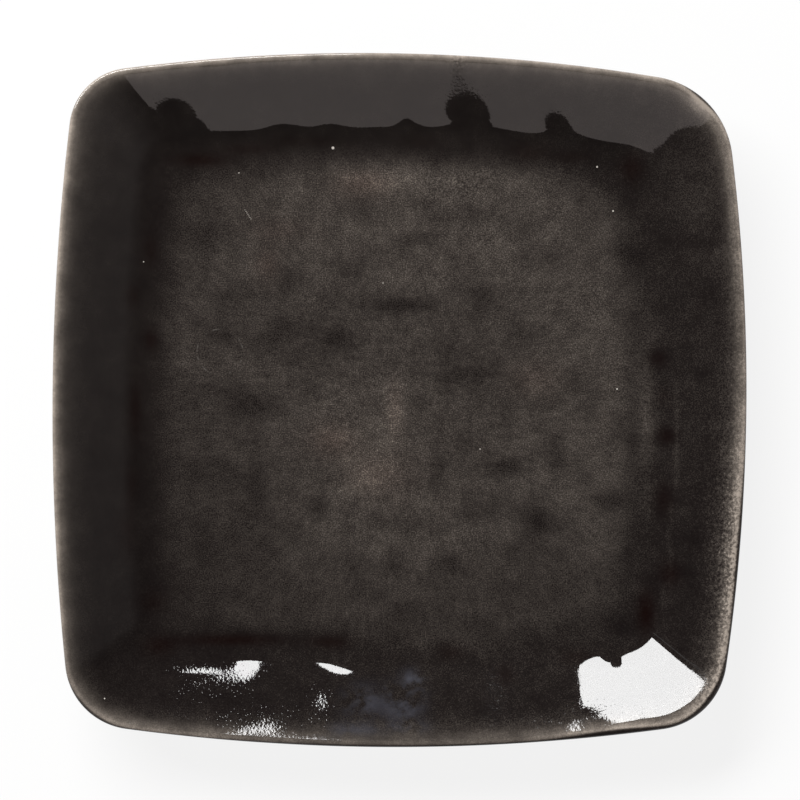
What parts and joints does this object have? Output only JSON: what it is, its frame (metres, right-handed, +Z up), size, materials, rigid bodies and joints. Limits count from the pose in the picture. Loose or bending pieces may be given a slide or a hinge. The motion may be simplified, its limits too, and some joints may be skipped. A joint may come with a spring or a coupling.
{
  "type": "square dinner plate",
  "caption": "Square stoneware dinner plate with bowed sides, rounded corners, a sloping rim, a foot ring and a dark glaze that thins to taupe on the lip.",
  "frame": {"origin": "on the table, under the middle of the plate's outline", "axes": "+Z up out of the plate's face, +X to the diner's right, +Y away from the diner"},
  "size_m": [0.27, 0.27, 0.03],
  "materials": {
    "stoneware": "bare fired clay, fine sandy grain, sanded smooth on the foot's tread",
    "dark_glaze": "glossy charcoal glaze, cloudy and salt-speckled on the floor, near black where it pools at the floor's edge",
    "lip_glaze": "glossy glaze, thinned to taupe over the clay, speckled",
    "underside_glaze": "glossy charcoal glaze, wiped back to a line beside the foot ring"
  },
  "bodies": {
    "root": {"stoneware_body": "stoneware", "foot_ring": "stoneware", "face_glaze": "dark_glaze", "lip_glaze": "lip_glaze", "underside_glaze": "underside_glaze", "foot_recess_glaze": "underside_glaze"}
  },
  "joints": []
}
